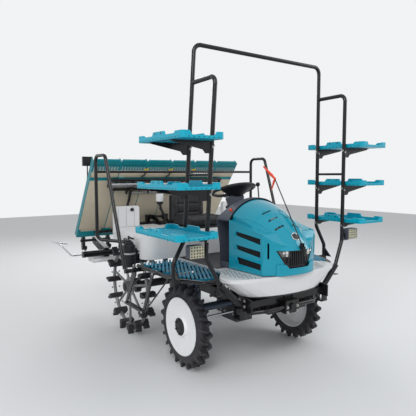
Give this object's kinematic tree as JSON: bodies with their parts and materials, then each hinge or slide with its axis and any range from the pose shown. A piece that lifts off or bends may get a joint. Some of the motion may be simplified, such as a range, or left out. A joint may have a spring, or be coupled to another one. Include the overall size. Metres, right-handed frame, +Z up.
{
  "type": "rice transplanter",
  "caption": "Riding rice transplanter with a tilting hood, steered front wheels, paddled rear wheels, spare seedling racks, and a lifting planting unit with a sliding seedling table.",
  "frame": {"origin": "on the floor, midway between the machine's two sides and midway along its length", "axes": "+X to the machine's left, +Y to its rear, +Z up; the machine faces -Y"},
  "size_m": [2.2168, 2.92, 2.5334],
  "materials": {
    "frame_black": "satin black paint",
    "axle_grey": "painted casting",
    "gear_alloy": "die cast",
    "white_plastic": "moulded",
    "deck_grey": "textured moulding",
    "deck_teal": "satin paint",
    "hood_teal": "gloss moulding",
    "tray_teal": "moulded",
    "black_plastic": "textured moulding",
    "dash_grey": "textured moulding",
    "seat_black": "vinyl",
    "lamp_clear": "clear lens over a reflector",
    "steel": "bare",
    "rim_white": "gloss paint",
    "tyre_rubber": "moulded lugs",
    "paddle_rubber": "moulded",
    "float_white": "moulded",
    "belt_beige": "ribbed belt",
    "marker_orange": "coloured tip on a black rod"
  },
  "bodies": {
    "chassis": {"main_frame": "frame_black", "front_bumper": "frame_black", "engine": "axle_grey", "gearbox": "gear_alloy", "front_axle": "axle_grey", "rear_axle": "axle_grey", "front_fairing": "white_plastic", "floor_deck": "deck_grey", "side_steps": "deck_teal", "boarding_steps": "frame_black", "rear_fenders": "white_plastic", "seat_cushion": "seat_black", "seat_back": "seat_black", "canister": "black_plastic", "dash": "dash_grey", "steering_column": "black_plastic", "levers": "black_plastic", "rear_handrails": "frame_black", "rack_arch": "frame_black", "rack_ladders": "frame_black", "tray_brackets": "frame_black", "spare_trays": "tray_teal", "work_lamps": "dash_grey"},
    "hood": {"hood": "hood_teal", "grille": "black_plastic", "headlamps": "lamp_clear", "hood_brackets": "frame_black"},
    "marker": {"marker_rod": "marker_orange"},
    "steering_wheel": {"steering_wheel": "black_plastic"},
    "knuckle_right": {"knuckle_right": "axle_grey"},
    "knuckle_left": {"knuckle_left": "axle_grey"},
    "tie_rod": {"tie_rod": "steel"},
    "front_wheel_right": {"front_rim_right": "rim_white", "front_tyre_right": "tyre_rubber"},
    "front_wheel_left": {"front_rim_left": "rim_white", "front_tyre_left": "tyre_rubber"},
    "rear_wheel_right": {"rear_wheel_right": "steel", "rear_paddles_right": "paddle_rubber"},
    "rear_wheel_left": {"rear_wheel_left": "steel", "rear_paddles_left": "paddle_rubber"},
    "lower_links": {"lower_links": "frame_black"},
    "upper_link": {"upper_link": "frame_black"},
    "lift_barrel": {"lift_barrel": "frame_black"},
    "lift_rod": {"lift_rod": "steel"},
    "planter": {"planter_frame": "frame_black", "drive_cases": "gear_alloy", "floats": "float_white", "side_guards": "steel"},
    "table": {"seedling_table": "tray_teal", "table_belts": "belt_beige", "rear_lamp": "black_plastic"},
    "rotor_right": {"rotor_right": "axle_grey"},
    "rotor_middle": {"rotor_middle": "axle_grey"},
    "rotor_left": {"rotor_left": "axle_grey"}
  },
  "joints": [
    {"name": "steer_right", "type": "hinge", "parent": "chassis", "child": "knuckle_right", "pos_m": [-0.5, -0.73, 0.33853], "axis": [0, 0, 1], "range_deg": [-35, 35]},
    {"name": "steer_left", "type": "hinge", "parent": "chassis", "child": "knuckle_left", "pos_m": [0.5, -0.73, 0.33853], "axis": [0, 0, 1], "range_deg": [-35, 35]},
    {"name": "tie_rod_swing", "type": "hinge", "parent": "knuckle_right", "child": "tie_rod", "pos_m": [-0.5, -0.86, 0.42153], "axis": [0, 0, 1], "range_deg": [-35, 35]},
    {"name": "steering_wheel_turn", "type": "hinge", "parent": "chassis", "child": "steering_wheel", "pos_m": [0, -0.59, 1.43], "axis": [0, 0.309, 0.9511], "range_deg": [-350, 350]},
    {"name": "front_spin_right", "type": "hinge", "parent": "knuckle_right", "child": "front_wheel_right", "pos_m": [-0.61, -0.73, 0.33853], "axis": [1, 0, 0], "continuous": true},
    {"name": "front_spin_left", "type": "hinge", "parent": "knuckle_left", "child": "front_wheel_left", "pos_m": [0.61, -0.73, 0.33853], "axis": [1, 0, 0], "continuous": true},
    {"name": "rear_spin_right", "type": "hinge", "parent": "chassis", "child": "rear_wheel_right", "pos_m": [-0.62, 0.312, 0.45136], "axis": [1, 0, 0], "continuous": true},
    {"name": "rear_spin_left", "type": "hinge", "parent": "chassis", "child": "rear_wheel_left", "pos_m": [0.62, 0.312, 0.45136], "axis": [1, 0, 0], "continuous": true},
    {"name": "hood_tilt", "type": "hinge", "parent": "chassis", "child": "hood", "pos_m": [0, -1.402, 0.826], "axis": [1, 0, 0], "range_deg": [0, 65]},
    {"name": "marker_fold", "type": "hinge", "parent": "hood", "child": "marker", "pos_m": [0, -1.436, 1.04], "axis": [1, 0, 0], "range_deg": [0, 100]},
    {"name": "lift", "type": "hinge", "parent": "chassis", "child": "lower_links", "pos_m": [0, 0.37, 0.55], "axis": [1, 0, 0], "range_deg": [-55, 0]},
    {"name": "upper_link_swing", "type": "hinge", "parent": "chassis", "child": "upper_link", "pos_m": [0, 0.37, 0.88], "axis": [1, 0, 0], "range_deg": [-55, 0]},
    {"name": "planter_level", "type": "hinge", "parent": "lower_links", "child": "planter", "pos_m": [0, 0.86999, 0.74998], "axis": [1, 0, 0], "range_deg": [0, 55]},
    {"name": "lift_barrel_swing", "type": "hinge", "parent": "chassis", "child": "lift_barrel", "pos_m": [0, 0.4, 0.5], "axis": [1, 0, 0], "range_deg": [-12.2, 0]},
    {"name": "lift_rod_slide", "type": "slide", "parent": "lift_barrel", "child": "lift_rod", "axis": [0, 0.3802, 0.9249], "range_m": [-0.2058, 0]},
    {"name": "table_slide", "type": "slide", "parent": "planter", "child": "table", "axis": [1, 0, 0], "range_m": [-0.14, 0.14]},
    {"name": "rotor_spin_right", "type": "hinge", "parent": "planter", "child": "rotor_right", "pos_m": [-0.6, 1.33, 0.8], "axis": [1, 0, 0], "continuous": true},
    {"name": "rotor_spin_middle", "type": "hinge", "parent": "planter", "child": "rotor_middle", "pos_m": [0, 1.33, 0.8], "axis": [1, 0, 0], "continuous": true},
    {"name": "rotor_spin_left", "type": "hinge", "parent": "planter", "child": "rotor_left", "pos_m": [0.6, 1.33, 0.8], "axis": [1, 0, 0], "continuous": true}
  ],
  "couplings": [
    {"joint": "steer_left", "follows": "steer_right", "ratio": 1},
    {"joint": "tie_rod_swing", "follows": "steer_right", "ratio": -1},
    {"joint": "steering_wheel_turn", "follows": "steer_right", "ratio": 10},
    {"joint": "upper_link_swing", "follows": "lift", "ratio": 1},
    {"joint": "planter_level", "follows": "lift", "ratio": -1},
    {"joint": "lift_barrel_swing", "follows": "lift", "ratio": 0.2209},
    {"joint": "lift_rod_slide", "follows": "lift", "m_per_rad": 0.2142},
    {"joint": "rotor_spin_middle", "follows": "rotor_spin_right", "ratio": 1},
    {"joint": "rotor_spin_left", "follows": "rotor_spin_right", "ratio": 1}
  ]
}
